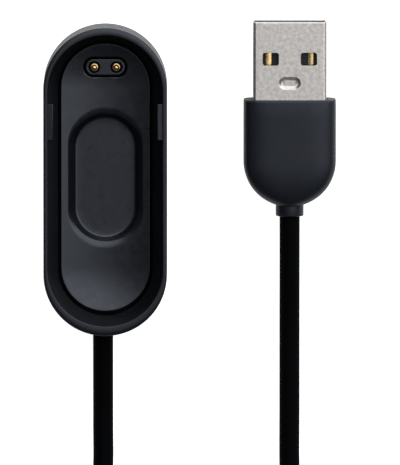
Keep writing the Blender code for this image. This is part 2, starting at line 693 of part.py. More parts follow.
def main():
    for obj in list(bpy.data.objects):
        bpy.data.objects.remove(obj, do_unlink=True)
    materials = make_materials()

    make_outer_case(materials["case"])
    make_base_cover(materials["case"])
    make_tray_insert(materials["tray"])
    make_pin_holder(materials["case"])
    for side, name in ((-1, "left"), (1, "right")):
        make_contact(side, name, materials)
    make_circuit_board(materials["board"])
    make_cord_grommet(materials["rubber"])
    make_dock_wire("dock_power_wire", 1, materials["red"])
    make_dock_wire("dock_ground_wire", -1, materials["black"])

    make_cord(materials["rubber"])

    make_plug_overmould(materials["grip"])
    make_plug_shell(materials["steel"])
    make_plug_insulator(materials["insulator"])
    make_plug_contacts(materials["gold"])
    make_plug_inner_mould(materials["natural"])
    make_plug_wire("plug_power_wire", 1, materials["red"])
    make_plug_wire("plug_ground_wire", -1, materials["black"])


main()
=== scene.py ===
"""Looks of a charging dock for a fitness-tracker capsule, with its cord and USB-A plug.

Every piece is built in metres in the CAD model's frame: the dock lies on z = 0 with its contacts
towards +Y and its cord at -Y, and the plug lies beside it at +X.
"""

import math

import bmesh
import bpy
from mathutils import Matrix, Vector


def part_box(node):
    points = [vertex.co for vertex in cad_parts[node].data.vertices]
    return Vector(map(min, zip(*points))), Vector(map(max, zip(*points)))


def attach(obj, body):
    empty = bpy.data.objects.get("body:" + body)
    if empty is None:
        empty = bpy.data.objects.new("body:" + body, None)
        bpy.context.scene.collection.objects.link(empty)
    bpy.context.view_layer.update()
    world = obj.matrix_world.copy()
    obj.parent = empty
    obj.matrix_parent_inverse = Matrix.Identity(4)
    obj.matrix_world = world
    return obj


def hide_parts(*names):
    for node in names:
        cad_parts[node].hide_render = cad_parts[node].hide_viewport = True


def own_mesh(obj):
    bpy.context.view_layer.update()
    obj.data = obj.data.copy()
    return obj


MM = 0.001
DOCK = "dock"                  # the body that carries everything except the two plungers

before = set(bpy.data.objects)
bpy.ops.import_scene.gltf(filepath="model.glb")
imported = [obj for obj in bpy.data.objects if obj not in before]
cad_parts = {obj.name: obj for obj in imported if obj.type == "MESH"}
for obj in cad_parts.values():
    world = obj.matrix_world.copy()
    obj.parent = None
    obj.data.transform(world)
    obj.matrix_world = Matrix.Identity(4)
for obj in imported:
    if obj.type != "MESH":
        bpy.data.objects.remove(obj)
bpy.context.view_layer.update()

# ---------------------------------------------------------------- sizes, from the frame

CASE_LOW, CASE_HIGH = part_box("outer_case")
TRAY_LOW, TRAY_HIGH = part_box("tray_insert")
COVER_LOW, COVER_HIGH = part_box("base_cover")
HOLDER_LOW, HOLDER_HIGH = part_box("pin_holder")
GRIP_LOW, GRIP_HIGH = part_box("plug_overmould")
SHELL_LOW, SHELL_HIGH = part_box("plug_shell")
TONGUE_LOW, TONGUE_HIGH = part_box("plug_insulator")
GROMMET_LOW, GROMMET_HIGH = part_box("cord_grommet")


def half_sizes(low, high):
    return (high.x - low.x) / 2, (high.y - low.y) / 2


def middle(low, high):
    return (low + high) / 2


FIT_GAP = 0.05 * MM

# Dock, as (half width, half length) of ovals
CASE_OUTLINE = half_sizes(CASE_LOW, CASE_HIGH)
CASE_TOP = CASE_HIGH.z
OPENING_OUTLINE = (CASE_OUTLINE[0] - 0.7 * MM, CASE_OUTLINE[1] - 1.38 * MM)
OPENING_Y = 0.2 * MM
TRAY_OUTLINE = half_sizes(TRAY_LOW, TRAY_HIGH)
TRAY_Y = middle(TRAY_LOW, TRAY_HIGH).y
WELL_OUTLINE = (TRAY_OUTLINE[0] + 0.4 * MM, TRAY_OUTLINE[1] + 0.54 * MM)
WELL_Y = TRAY_Y - 0.15 * MM
WELL_EDGE_Z = 5.5 * MM
SHELF_Z = 3.7 * MM
SHELF_THICKNESS = 0.7 * MM
GROOVE_DEPTH = 0.4 * MM        # of the notch round the tray, below the shelf
SHELF_OUTLINE = (TRAY_OUTLINE[0] - 0.95 * MM, TRAY_OUTLINE[1] - 0.98 * MM)
COVER_OUTLINE = half_sizes(COVER_LOW, COVER_HIGH)
COVER_THICKNESS = 1.2 * MM
CAVITY_OUTLINE = (COVER_OUTLINE[0] - 0.4 * MM, COVER_OUTLINE[1] - 0.55 * MM)
CAVITY_Y = 0.45 * MM

# Tray
TRAY_EDGE_Z = 5.35 * MM
TRAY_SAG = 0.7 * MM
POCKET_Y = 0.2 * MM
POCKET_MOUTH = (6.15 * MM, 11.6 * MM)
POCKET_FLOOR = (5.05 * MM, 9.95 * MM)
POCKET_FLOOR_Z = 3.4 * MM

# Contacts
PIN_Y = middle(HOLDER_LOW, HOLDER_HIGH).y
HOLDER_TOP = HOLDER_HIGH.z
HOLDER_OUTLINE = (3.25 * MM, 1.35 * MM)
WINDOW_OUTLINE = (3.6 * MM, 1.7 * MM)

# Cord
CORD_DIAMETER = 3.28 * MM
DOCK_CORD_X = middle(GROMMET_LOW, GROMMET_HIGH).x
DOCK_CORD_Z = middle(GROMMET_LOW, GROMMET_HIGH).z
CORD_LAID_Z = CORD_DIAMETER / 2 + 0.03 * MM

# Plug
PLUG_X = middle(GRIP_LOW, GRIP_HIGH).x
PLUG_Z = middle(SHELL_LOW, SHELL_HIGH).z
GRIP_HALF_WIDTH = (GRIP_HIGH.x - GRIP_LOW.x) / 2
GRIP_FRONT_Y = GRIP_HIGH.y
COLLAR_BACK_Y = GRIP_LOW.y
COLLAR_FRONT_Y = COLLAR_BACK_Y + 1.7 * MM
COLLAR_RADIUS = 2.26 * MM
GRIP_ROUND_Y = 2.95 * MM       # where the straight sides turn into the round end
GRIP_ARC = 0.975               # share of a quarter ellipse's length that the round end takes up
SHELL_HALF = ((SHELL_HIGH.x - SHELL_LOW.x) / 2, (SHELL_HIGH.z - SHELL_LOW.z) / 2)
SHELL_CORNER = 0.55 * MM
SHELL_SHEET = 0.3 * MM
SHELL_TIP_Y = SHELL_HIGH.y
SHELL_BACK_Y = SHELL_LOW.y
TONGUE_TOP_Z = PLUG_Z - 0.05 * MM

OVAL_STEPS = 56                # segments in each round end of an oval
ROUND_SIDES = 64               # segments round turned pieces and round holes


# ---------------------------------------------------------------- camera

VIEW_CENTRE = Vector((15.40 * MM, -9.22 * MM, 0))
VIEW_HEIGHT = 75.86 * MM       # what the frame shows from top to bottom, at the floor
CAMERA_DISTANCE = 2.5
CAMERA_TILT = math.radians(5.3)


def make_camera():
    camera = bpy.data.cameras.new("camera")
    camera.sensor_width = 36
    camera.lens = camera.sensor_width * CAMERA_DISTANCE / VIEW_HEIGHT
    camera.clip_start = 0.01
    obj = bpy.data.objects.new("camera", camera)
    away = Vector((0, math.sin(CAMERA_TILT), math.cos(CAMERA_TILT)))
    obj.location = VIEW_CENTRE + CAMERA_DISTANCE * away
    obj.rotation_euler = (-CAMERA_TILT, 0, 0)
    bpy.context.scene.collection.objects.link(obj)
    bpy.context.scene.camera = obj


# ---------------------------------------------------------------- materials

def new_material(name):
    """A material with its shader, and the object's own coordinates in millimetres."""
    material = bpy.data.materials.new(name)
    material.use_nodes = True
    nodes, links = material.node_tree.nodes, material.node_tree.links
    shader = nodes["Principled BSDF"]
    coordinates = nodes.new("ShaderNodeTexCoord")
    scale = nodes.new("ShaderNodeVectorMath")
    scale.operation = "SCALE"
    scale.inputs["Scale"].default_value = 1 / MM
    links.new(coordinates.outputs["Object"], scale.inputs[0])
    return material, nodes, links, shader, scale.outputs[0]


def add_noise(nodes, links, vector, scale, detail=3.0, stretch=(1, 1, 1), roughness=0.55):
    """Noise with `scale` features to the millimetre, drawn out along an axis by a small stretch."""
    mapping = nodes.new("ShaderNodeMapping")
    mapping.inputs["Scale"].default_value = stretch
    noise = nodes.new("ShaderNodeTexNoise")
    noise.inputs["Scale"].default_value = scale
    noise.inputs["Detail"].default_value = detail
    noise.inputs["Roughness"].default_value = roughness
    links.new(vector, mapping.inputs["Vector"])
    links.new(mapping.outputs["Vector"], noise.inputs["Vector"])
    return noise.outputs["Fac"]


def add_ramp(nodes, links, value, low, high, start=0.3, end=0.7):
    """Maps a 0 to 1 value to a number from low to high, or to a colour between two colours."""
    if isinstance(low, (int, float)):
        ramp = nodes.new("ShaderNodeMapRange")
        ramp.inputs["From Min"].default_value = start
        ramp.inputs["From Max"].default_value = end
        ramp.inputs["To Min"].default_value = low
        ramp.inputs["To Max"].default_value = high
        links.new(value, ramp.inputs["Value"])
        return ramp.outputs["Result"]
    ramp = nodes.new("ShaderNodeValToRGB")
    ramp.color_ramp.elements[0].position = start
    ramp.color_ramp.elements[1].position = end
    ramp.color_ramp.elements[0].color = (*low, 1)
    ramp.color_ramp.elements[1].color = (*high, 1)
    links.new(value, ramp.inputs["Fac"])
    return ramp.outputs["Color"]


def add_bump(nodes, links, shader, height, distance, after=None):
    """Relief of `distance` metres from a 0 to 1 height, on top of the relief `after` if given."""
    bump = nodes.new("ShaderNodeBump")
    bump.inputs["Distance"].default_value = distance
    bump.inputs["Strength"].default_value = 1.0
    links.new(height, bump.inputs["Height"])
    if after is not None:
        links.new(after, bump.inputs["Normal"])
    links.new(bump.outputs["Normal"], shader.inputs["Normal"])
    return bump.outputs["Normal"]


def moulded_plastic(name, color, lighter, roughness, grain=6.0, grain_depth=0.004 * MM, specular=0.5):
    """Black plastic with a fine eroded mould texture, slightly uneven gloss and faint clouding."""
    material, nodes, links, shader, vector = new_material(name)
    cloud = add_noise(nodes, links, vector, 0.25, 4)
    links.new(add_ramp(nodes, links, cloud, color, lighter), shader.inputs["Base Color"])
    patch = add_noise(nodes, links, vector, 0.9, 2)
    links.new(add_ramp(nodes, links, patch, roughness - 0.04, roughness + 0.05), shader.inputs["Roughness"])
    texture = add_noise(nodes, links, vector, grain, 2, roughness=0.5)
    add_bump(nodes, links, shader, texture, grain_depth)
    shader.inputs["Specular IOR Level"].default_value = specular
    shader.inputs["Specular Tint"].default_value = (0.81, 0.87, 1.0, 1)
    return material


def cord_jacket():
    """Dull black extruded jacket: faint drawing lines along it and a little dust-like variation."""
    material, nodes, links, shader, vector = new_material("cord_rubber_look")
    speckle = add_noise(nodes, links, vector, 5.0, 4)
    jacket = add_ramp(nodes, links, speckle, (0.0002, 0.0003, 0.0006), (0.0006, 0.0009, 0.0014))
    links.new(jacket, shader.inputs["Base Color"])
    links.new(add_ramp(nodes, links, speckle, 0.62, 0.74), shader.inputs["Roughness"])
    lines = add_noise(nodes, links, vector, 1.2, 1, stretch=(3.0, 0.15, 3.0))
    add_bump(nodes, links, shader, lines, 0.002 * MM)
    shader.inputs["Specular IOR Level"].default_value = 0.04
    return material


def plated_steel(name, along_y=True):
    """Nickel-plated sheet: mottled plating, fine brushing along the sheet and a few darker specks."""
    material, nodes, links, shader, vector = new_material(name)
    shader.inputs["Metallic"].default_value = 1.0
    mottle = add_noise(nodes, links, vector, 1.6, 8, roughness=0.75)
    plating = add_ramp(nodes, links, mottle, (0.46, 0.435, 0.42), (0.71, 0.68, 0.66), 0.36, 0.64)
    links.new(plating, shader.inputs["Base Color"])
    brushed = add_noise(nodes, links, vector, 7.0, 4, stretch=(2.6, 0.22, 2.6) if along_y else (1, 1, 1))
    links.new(add_ramp(nodes, links, brushed, 0.30, 0.44), shader.inputs["Roughness"])
    first = add_bump(nodes, links, shader, brushed, 0.0025 * MM)
    add_bump(nodes, links, shader, mottle, 0.004 * MM, after=first)
    return material


def gold_plate():
    material, nodes, links, shader, vector = new_material("gold_plate_look")
    shader.inputs["Metallic"].default_value = 1.0
    wear = add_noise(nodes, links, vector, 3.0, 5)
    plate = add_ramp(nodes, links, wear, (0.60, 0.41, 0.17), (0.84, 0.62, 0.32))
    links.new(plate, shader.inputs["Base Color"])
    links.new(add_ramp(nodes, links, wear, 0.20, 0.32), shader.inputs["Roughness"])
    add_bump(nodes, links, shader, add_noise(nodes, links, vector, 5.0, 2), 0.0003 * MM)
    return material


def wire_insulation(name, color, lighter):
    return moulded_plastic(name, color, lighter, 0.42, grain=3.0, grain_depth=0.002 * MM)


def board_laminate():
    """Green solder mask over woven laminate."""
    material, nodes, links, shader, vector = new_material("board_laminate_look")
    weave = nodes.new("ShaderNodeTexChecker")
    weave.inputs["Scale"].default_value = 4.0
    weave.inputs["Color1"].default_value = (0.010, 0.085, 0.032, 1)
    weave.inputs["Color2"].default_value = (0.016, 0.115, 0.045, 1)
    links.new(vector, weave.inputs["Vector"])
    links.new(weave.outputs["Color"], shader.inputs["Base Color"])
    gloss = add_noise(nodes, links, vector, 2.0)
    links.new(add_ramp(nodes, links, gloss, 0.28, 0.4), shader.inputs["Roughness"])
    add_bump(nodes, links, shader, weave.outputs["Fac"], 0.004 * MM)
    return material


def make_materials():
    return {
        "case": moulded_plastic("case_plastic_look", (0.0030, 0.0036, 0.0046),
                                (0.0042, 0.0050, 0.0062), 0.38, specular=0.46),
        "tray": moulded_plastic("tray_plastic_look", (0.0026, 0.0034, 0.0056),
                                (0.0040, 0.0050, 0.0078), 0.31,
                                grain=9.0, grain_depth=0.0008 * MM, specular=0.57),
        "grip": moulded_plastic("grip_plastic_look", (0.0042, 0.0052, 0.0082),
                                (0.0060, 0.0074, 0.0110), 0.42,
                                grain=7.0, grain_depth=0.002 * MM, specular=0.39),
        "rubber": moulded_plastic("grommet_rubber_look", (0.004, 0.004, 0.005), (0.006, 0.006, 0.007), 0.6),
        "cord": cord_jacket(),
        "steel": plated_steel("plated_steel_look"),
        "spring": plated_steel("spring_steel_look", along_y=False),
        "gold": gold_plate(),
        "board": board_laminate(),
        "insulator": moulded_plastic("insulator_plastic_look", (0.006, 0.005, 0.006),
                                     (0.010, 0.009, 0.010), 0.5),
        "natural": moulded_plastic("natural_plastic_look", (0.52, 0.49, 0.42),
                                   (0.62, 0.59, 0.52), 0.5),
        "red": wire_insulation("wire_red_look", (0.36, 0.012, 0.012), (0.46, 0.020, 0.018)),
        "black": wire_insulation("wire_black_look", (0.008, 0.008, 0.008), (0.014, 0.014, 0.014)),
    }


# ---------------------------------------------------------------- mesh tools

def oval(outline, z, inset=0.0, centre_y=0.0, height=None):
    """Points round an oval with round ends along its longer side; height(x, y) may replace z."""
    half_x = outline[0] - inset
    half_y = outline[1] - inset
    radius = min(half_x, half_y)
    points = []
    for i in range(2 * OVAL_STEPS + 2):
        second = i > OVAL_STEPS
        angle = math.pi * (i - second) / OVAL_STEPS
        side = -1 if second else 1
        if half_y >= half_x:
            x = radius * math.cos(angle)
            y = radius * math.sin(angle) + side * (half_y - radius)
        else:
            x = radius * math.sin(angle) + side * (half_x - radius)
            y = -radius * math.cos(angle)
        y += centre_y
        points.append((x, y, height(x, y) if height else z))
    return points


def arc(radius, start, end, steps):
    """Points (across, up) along an arc about the origin; angles in degrees."""
    for i in range(steps + 1):
        angle = math.radians(start + (end - start) * i / steps)
        yield radius * math.cos(angle), radius * math.sin(angle)


def between(a, b, share):
    return tuple(p + (q - p) * share for p, q in zip(a, b))


def eased(value, start, end):
    """0 up to start and 1 from end, with a smooth rise between them."""
    share = min(max((value - start) / (end - start), 0), 1)
    return share ** 2 * (3 - 2 * share)


def mesh_object(name, bm, material, sharp=32):
    bmesh.ops.recalc_face_normals(bm, faces=bm.faces)
    mesh = bpy.data.meshes.new(name)
    bm.to_mesh(mesh)
    bm.free()
    mesh.shade_smooth()
    mesh.set_sharp_from_angle(angle=math.radians(sharp))
    obj = bpy.data.objects.new(name, mesh)
    if material is not None:
        mesh.materials.append(material)
    bpy.context.scene.collection.objects.link(obj)
    return obj


def loft(name, rings, material, closed=False, sharp=32):
    """One body through rings of equal length; its ends are filled, or joined to each other."""
    bm = bmesh.new()
    loops = [[bm.verts.new(point) for point in ring] for ring in rings]
    pairs = list(zip(loops, loops[1:]))
    if closed:
        pairs.append((loops[-1], loops[0]))
    for lower, upper in pairs:
        for i in range(len(lower)):
            j = (i + 1) % len(lower)
            bm.faces.new((lower[i], lower[j], upper[j], upper[i]))
    if not closed:
        bm.faces.new(loops[0])
        bm.faces.new(list(reversed(loops[-1])))
    return mesh_object(name, bm, material, sharp)


def turned(name, profile, material, centre):
    """A solid turned about a vertical axis from (radius, z) pairs that start and end on it."""
    bm = bmesh.new()
    sides = ROUND_SIDES
    turn = [2 * math.pi * i / sides for i in range(sides)]
    loops = []
    for radius, z in profile:
        ring = [(centre[0] + radius * math.cos(a), centre[1] + radius * math.sin(a), z) for a in turn]
        loops.append([bm.verts.new(point) for point in (ring if radius else ring[:1])])
    for lower, upper in zip(loops, loops[1:]):
        for i in range(sides):
            j = (i + 1) % sides
            if len(lower) == 1:
                bm.faces.new((lower[0], upper[j], upper[i]))
            elif len(upper) == 1:
                bm.faces.new((lower[i], lower[j], upper[0]))
            else:
                bm.faces.new((lower[i], lower[j], upper[j], upper[i]))
    return mesh_object(name, bm, material)


def block(name, low, high):
    bm = bmesh.new()
    bmesh.ops.create_cube(bm, size=1.0)
    for vert in bm.verts:
        for axis in range(3):
            vert.co[axis] = high[axis] if vert.co[axis] > 0 else low[axis]
    return mesh_object(name, bm, None)


def disc_along_y(name, centre, radius, y_from, y_to):
    turn = list(arc(radius, 0, 360, ROUND_SIDES))[:-1]
    rings = [[(centre[0] + across, y, centre[1] + up) for across, up in turn] for y in (y_from, y_to)]
    return loft(name, rings, None)


def cut_and_bevel(target, tools, bevel=0.0, operation="DIFFERENCE", segments=2, sharp=32):
    """Cuts the tools out of (or joins them to) target, rounds the hard edges and keeps flat faces flat."""
    for tool in tools:
        modifier = target.modifiers.new("cut", "BOOLEAN")
        modifier.operation = operation
        modifier.solver = "EXACT"
        modifier.object = tool
    if bevel:
        modifier = target.modifiers.new("bevel", "BEVEL")
        modifier.width = bevel
        modifier.segments = segments
        modifier.limit_method = "ANGLE"
        modifier.angle_limit = math.radians(sharp)
        modifier.miter_outer = "MITER_ARC"
    graph = bpy.context.evaluated_depsgraph_get()
    mesh = bpy.data.meshes.new_from_object(target.evaluated_get(graph))
    old = target.data
    target.modifiers.clear()
    target.data = mesh
    mesh.name = target.name
    bpy.data.meshes.remove(old)
    mesh.shade_smooth()
    mesh.set_sharp_from_angle(angle=math.radians(sharp))
    for tool in tools:
        bpy.data.objects.remove(tool)
    weights = target.modifiers.new("even_normals", "WEIGHTED_NORMAL")
    weights.keep_sharp = True
    return target


def stands_for(piece, nodes, body=DOCK):
    """Puts a piece on its body in place of CAD nodes, which it hides."""
    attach(piece, body)
    if nodes:
        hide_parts(*nodes)
    return piece


# ---------------------------------------------------------------- dock

def wall_height(share, curved, y, wall_top):
    """The inner wall's height: steep all the way down, with a softer foot at the cord's end."""
    straightness = 0.62 - 0.3 * eased(-y, 12 * MM, 21 * MM)
    rise = straightness * share + (1 - straightness) * curved
    return WELL_EDGE_Z + (wall_top - WELL_EDGE_Z) * rise


def make_case(material):
    """Tub: rounded foot, upright outer wall, rolled rim, sloping inner wall, groove and shelf."""
    foot = 0.9 * MM
    lip = 0.35 * MM
    crown_stretch = 2.3            # the rim's outer edge is rolled more broadly at both ends
    inner_lip = 0.12 * MM
    rings = []
    for across, up in arc(foot, 270, 360, 8):
        rings.append(oval(CASE_OUTLINE, foot + up, foot - across))
    rings.append(oval(CASE_OUTLINE, CASE_TOP - lip - 0.3 * MM))
    for across, up in arc(lip, 0, 90, 10):
        outline = (CASE_OUTLINE[0] - lip + across, CASE_OUTLINE[1] - crown_stretch * (lip - across))
        rings.append(oval(outline, CASE_TOP - lip + up))
    wall_top = CASE_TOP - inner_lip
    for across, up in arc(inner_lip, 90, 10, 4):
        rings.append(oval(OPENING_OUTLINE, wall_top + up, across - inner_lip, OPENING_Y))
    wall_steps = 26
    for i in range(wall_steps + 1):
        angle = math.radians(90 - 90 * i / wall_steps)
        share = math.sin(angle)
        curved = 1 - math.cos(angle)
        rings.append(oval(between(WELL_OUTLINE, OPENING_OUTLINE, share), 0, 0,
                          WELL_Y + (OPENING_Y - WELL_Y) * share,
                          lambda x, y: wall_height(share, curved, y, wall_top)))
    shelf_underside = SHELF_Z - SHELF_THICKNESS
    cover_seat = COVER_THICKNESS + FIT_GAP
    inside = ((WELL_OUTLINE, SHELF_Z - GROOVE_DEPTH, WELL_Y), (TRAY_OUTLINE, SHELF_Z, TRAY_Y),
              (SHELF_OUTLINE, SHELF_Z, TRAY_Y), (SHELF_OUTLINE, shelf_underside, TRAY_Y),
              (CAVITY_OUTLINE, shelf_underside, CAVITY_Y), (CAVITY_OUTLINE, cover_seat, CAVITY_Y))
    for outline, z, centre_y in inside:
        rings.append(oval(outline, z, centre_y=centre_y))
    chamfer = 0.12 * MM
    rings.append(oval(COVER_OUTLINE, cover_seat, -FIT_GAP))
    rings.append(oval(COVER_OUTLINE, chamfer, -FIT_GAP))
    rings.append(oval(COVER_OUTLINE, 0, -FIT_GAP - chamfer))
    case = loft("case_body", rings, material, closed=True)
    cut_and_bevel(case, make_outlet_cutters())
    stands_for(case, ["outer_case"])


def make_outlet_cutters():
    """A stepped hole for the grommet through the end wall and, behind it, a low channel for the wires."""
    centre = (DOCK_CORD_X, DOCK_CORD_Z)
    entry_radius, seat_radius = 2.15 * MM, 2.4 * MM
    outside_y, step_y, seat_y = -26 * MM, -24.2 * MM, -23.0 * MM
    channel_low = (-2.0 * MM, -23.3 * MM, 1.3 * MM)
    channel_high = (1.2 * MM, -21.5 * MM, 2.95 * MM)
    return [
        disc_along_y("outlet_entry", centre, entry_radius, outside_y, step_y),
        disc_along_y("outlet_seat", centre, seat_radius, step_y - 0.05 * MM, seat_y),
        block("outlet_channel", channel_low, channel_high),
    ]


def make_snap_rib(side, name, material):
    """Rib on the inner wall that snaps over the tracker's flank, with soft edges."""
    from_y, to_y = 6.8 * MM, 12.7 * MM
    section = ((9.65, 10.9), (8.55, 11.0), (8.4, 10.85), (8.4, 9.9), (9.3, 8.9), (9.65, 8.9))
    rings = []
    for y in (from_y, to_y):
        rings.append([(side * x * MM, y, z * MM) for x, z in section])
    rib = loft(name, rings, material)
    cut_and_bevel(rib, [], bevel=0.09 * MM, segments=3)
    stands_for(rib, [])


def make_base_cover(material):
    """Flat bottom cover with two rails inside that hold up the circuit board."""
    chamfer = 0.15 * MM
    rail_inner_x, rail_outer_x = 2.2 * MM, 3.2 * MM
    rail_from_y, rail_to_y = 14 * MM, 20 * MM
    rail_root_z = 1.0 * MM
    rings = [oval(COVER_OUTLINE, 0, 3 * MM), oval(COVER_OUTLINE, 0, chamfer), oval(COVER_OUTLINE, chamfer),
             oval(COVER_OUTLINE, COVER_THICKNESS)]
    cover = loft("bottom_cover", rings, material)
    rails = []
    for side in (-1, 1):
        low_x, high_x = sorted((side * rail_inner_x, side * rail_outer_x))
        rails.append(block("rail", (low_x, rail_from_y, rail_root_z), (high_x, rail_to_y, COVER_HIGH.z)))
    cut_and_bevel(cover, rails, operation="UNION")
    stands_for(cover, ["base_cover"])


def dish_height(x, y):
    """Height of the dished tray, which follows the tracker's rounded back."""
    half_width, half_length = TRAY_OUTLINE
    beyond = max(abs(y - TRAY_Y) - (half_length - half_width), 0)
    share = min(math.hypot(x, beyond) / half_width, 1)
    return TRAY_EDGE_Z - TRAY_SAG * (1 - share ** 2)


def pocket_depth(share, y):
    """Share of the pocket's depth at a share of the way in: steep, with a broader lip at both ends."""
    towards_end = eased(abs(y - POCKET_Y), POCKET_FLOOR[1] - POCKET_FLOOR[0], POCKET_FLOOR[1])
    lip_share, lip_depth = 0.65, 0.22
    steep = share ** 1.5
    if share < lip_share:
        broad = lip_depth * (share / lip_share) ** 2
    else:
        broad = lip_depth + (1 - lip_depth) * (share - lip_share) / (1 - lip_share)
    return steep + (broad - steep) * towards_end


def pocket_height(share, x, y, foot_z):
    """Height of the pocket's wall, between the dish above it and the foot at foot_z."""
    dish_z = dish_height(x, y)
    return dish_z + (foot_z - dish_z) * pocket_depth(share, y)


def make_tray(material):
    """Dished panel with a rounded edge, the sensor pocket with soft lips, and the contact window."""
    underside = SHELF_Z + FIT_GAP
    edge = 0.13 * MM
    rings = []
    pocket_base = POCKET_FLOOR_Z - 0.95 * MM
    wall = 0.9 * MM
    for outline, z, inset in ((POCKET_FLOOR, pocket_base, 1 * MM), (POCKET_FLOOR, pocket_base, -wall / 2),
                              (POCKET_FLOOR, underside - 0.3 * MM, -wall),
                              (POCKET_FLOOR, underside, -wall - 0.1 * MM)):
        rings.append(oval(outline, z, inset, POCKET_Y))
    rings.append(oval(TRAY_OUTLINE, underside, 0, TRAY_Y))
    for across, up in arc(edge, 0, 90, 5):
        drop = edge - up
        rings.append(oval(TRAY_OUTLINE, 0, edge - across, TRAY_Y, lambda x, y: dish_height(x, y) - drop))
    dish_steps = 26
    for i in range(1, dish_steps + 1):
        share = i / dish_steps
        outline = between((TRAY_OUTLINE[0] - edge, TRAY_OUTLINE[1] - edge), POCKET_MOUTH, share)
        rings.append(oval(outline, 0, 0, TRAY_Y + (POCKET_Y - TRAY_Y) * share, dish_height))
    fillet = 0.4 * MM
    floor_sag = 0.03 * MM
    foot_z = POCKET_FLOOR_Z + floor_sag + fillet
    for share in (0.03, 0.07, 0.12, 0.18, 0.25, 0.33, 0.41, 0.49, 0.57, 0.65, 0.71, 0.8, 0.9, 1.0):
        rings.append(oval(between(POCKET_MOUTH, POCKET_FLOOR, share), 0, 0, POCKET_Y,
                          lambda x, y: pocket_height(share, x, y, foot_z)))
    for across, up in arc(fillet, 25, 90, 5):
        rings.append(oval(POCKET_FLOOR, foot_z - up, fillet - across, POCKET_Y))
    soft_edge = 1.6 * MM
    for inset in (0.6 * MM, 0.9 * MM, 1.2 * MM, soft_edge, 3 * MM):
        rise = floor_sag * (1 - min((inset - fillet) / (soft_edge - fillet), 1)) ** 2
        rings.append(oval(POCKET_FLOOR, POCKET_FLOOR_Z + rise, inset, POCKET_Y))
    tray = loft("tray_panel", rings, material)
    window = loft("window_cutter", [oval(WINDOW_OUTLINE, 3 * MM, centre_y=PIN_Y),
                                    oval(WINDOW_OUTLINE, 7 * MM, centre_y=PIN_Y)], None)
    cut_and_bevel(tray, [window], bevel=0.07 * MM, sharp=40)
    stands_for(tray, ["tray_insert"])


def make_pin_holder(material, pin_xs):
    """Oblong insert with a softened top edge, a countersunk hole for each contact and a flange."""
    flange = (HOLDER_OUTLINE[0] + 0.55 * MM, HOLDER_OUTLINE[1] + 0.55 * MM)
    flange_top = HOLDER_LOW.z + 1.05 * MM
    edge = 0.16 * MM
    rings = [oval(flange, z, centre_y=PIN_Y) for z in (HOLDER_LOW.z, flange_top - 0.35 * MM)]
    rings.append(oval(HOLDER_OUTLINE, flange_top, centre_y=PIN_Y))
    for across, up in arc(edge, 0, 90, 5):
        rings.append(oval(HOLDER_OUTLINE, HOLDER_TOP - edge + up, edge - across, PIN_Y))
    rings.append(oval(HOLDER_OUTLINE, HOLDER_TOP, edge + 0.05 * MM, PIN_Y))
    holder = loft("contact_holder", rings, material)
    hole, mouth = 0.75 * MM, 0.95 * MM
    profile = [(0, 2 * MM), (hole, 2 * MM), (hole, 4.3 * MM), (mouth - 0.05 * MM, 4.45 * MM),
               (mouth, 4.55 * MM), (mouth, 6 * MM), (0, 6 * MM)]
    tools = []
    for x in pin_xs:
        tools.append(turned("pin_hole", profile, None, (x, PIN_Y)))
    cut_and_bevel(holder, tools, bevel=0.05 * MM, sharp=50)
    stands_for(holder, ["pin_holder"])


def make_contact(name, materials):
    """Sleeve with a rolled mouth, polished domed plunger, and the spring inside the sleeve."""
    low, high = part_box(f"{name}_pin_barrel")
    centre = middle(low, high)
    radius = (high.x - low.x) / 2
    bore, mouth = 0.53 * MM, 0.46 * MM
    bead = 0.21 * MM
    crimp_z = high.z - 0.25 * MM
    floor_z = low.z + 0.3 * MM
    profile = [(0, low.z), (radius - 0.05 * MM, low.z), (radius, low.z + 0.05 * MM)]
    profile += [(radius - bead + across, high.z - bead + up) for across, up in arc(bead, 0, 90, 6)]
    profile += [(mouth + 0.03 * MM, high.z), (mouth, high.z - 0.03 * MM), (mouth, crimp_z),
                (bore, crimp_z - 0.03 * MM), (bore, floor_z), (0, floor_z)]
    barrel = turned(f"{name}_contact_sleeve", profile, materials["gold"], centre)
    stands_for(barrel, [f"{name}_pin_barrel"])

    foot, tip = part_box(f"{name}_pin_plunger")
    stem = 0.43 * MM
    collar = (tip.x - foot.x) / 2 - 0.005 * MM
    stop_z = crimp_z - 0.05 * MM
    dome = 0.30 * MM
    profile = [(0, foot.z), (collar - 0.04 * MM, foot.z), (collar, foot.z + 0.04 * MM), (collar, stop_z),
               (stem, stop_z), (stem, tip.z - dome - 0.02 * MM)]
    for i in range(12):
        angle = math.radians(90 * i / 12)
        profile.append((stem * math.cos(angle), tip.z - dome + dome * math.sin(angle)))
    profile.append((0, tip.z))
    plunger = turned(f"{name}_contact_plunger", profile, materials["gold"], centre)
    stands_for(plunger, [f"{name}_pin_plunger"], f"{name}_plunger")

    spring_low, spring_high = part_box(f"{name}_pin_spring")
    spring = make_spring(f"{name}_contact_spring", centre, spring_low.z, spring_high.z, materials["spring"])
    stands_for(spring, [f"{name}_pin_spring"])
    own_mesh(spring)


def make_spring(name, centre, low_z, high_z, material):
    """A coil of round wire, as a mesh."""
    wire = 0.05 * MM
    coil_radius = 0.4 * MM
    turns = 5
    steps, sides = turns * 28, 10
    rings = []
    for i in range(steps + 1):
        angle = 2 * math.pi * turns * i / steps
        outward = Vector((math.cos(angle), math.sin(angle), 0))
        height = low_z + wire + (high_z - low_z - 2 * wire) * i / steps
        core = Vector((centre.x, centre.y, height)) + coil_radius * outward
        rings.append([core + across * outward + Vector((0, 0, up))
                      for across, up in list(arc(wire, 0, 360, sides))[:-1]])
    return loft(name, rings, material, sharp=60)


